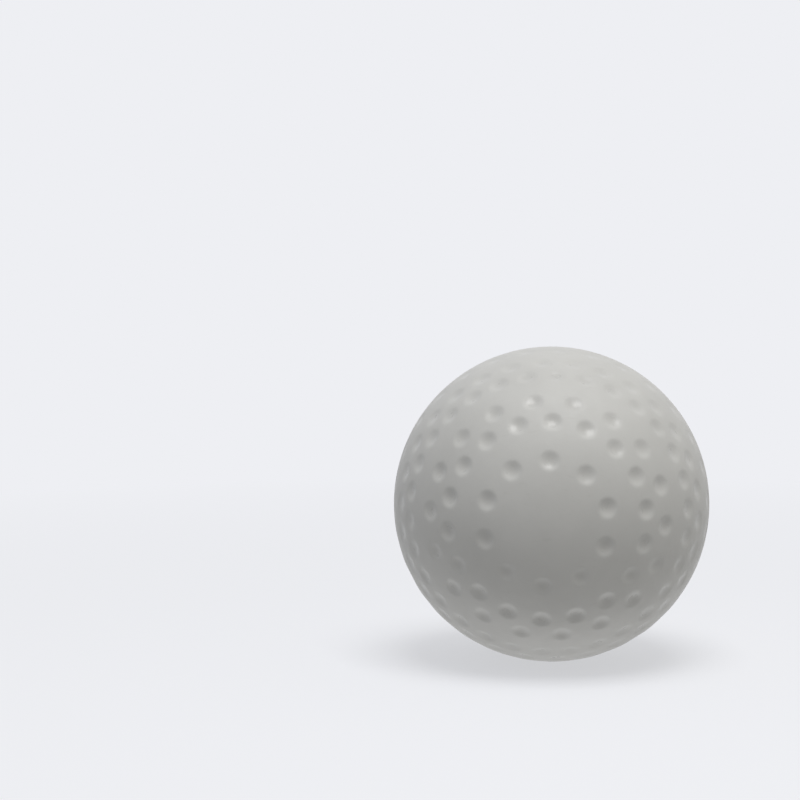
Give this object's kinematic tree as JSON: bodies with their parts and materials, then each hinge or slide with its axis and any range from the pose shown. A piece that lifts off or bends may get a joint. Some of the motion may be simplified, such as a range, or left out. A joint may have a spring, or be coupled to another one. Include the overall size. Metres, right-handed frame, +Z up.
{
  "type": "field hockey ball",
  "caption": "White field hockey ball: two dimpled plastic cups bonded at a tongue and groove seam round a solid cork and rubber core, with a bare round pad on each side.",
  "frame": {"origin": "centre of the ball", "axes": "+Z up; +Y from the front pad's centre to the rear pad's centre, square to the seam; +X to the right as the front pad is seen"},
  "size_m": [0.073, 0.073, 0.073],
  "materials": {
    "cover": "satin",
    "core": "matte"
  },
  "bodies": {
    "root": {"cover_front": "cover", "cover_rear": "cover", "core": "core"}
  },
  "joints": []
}
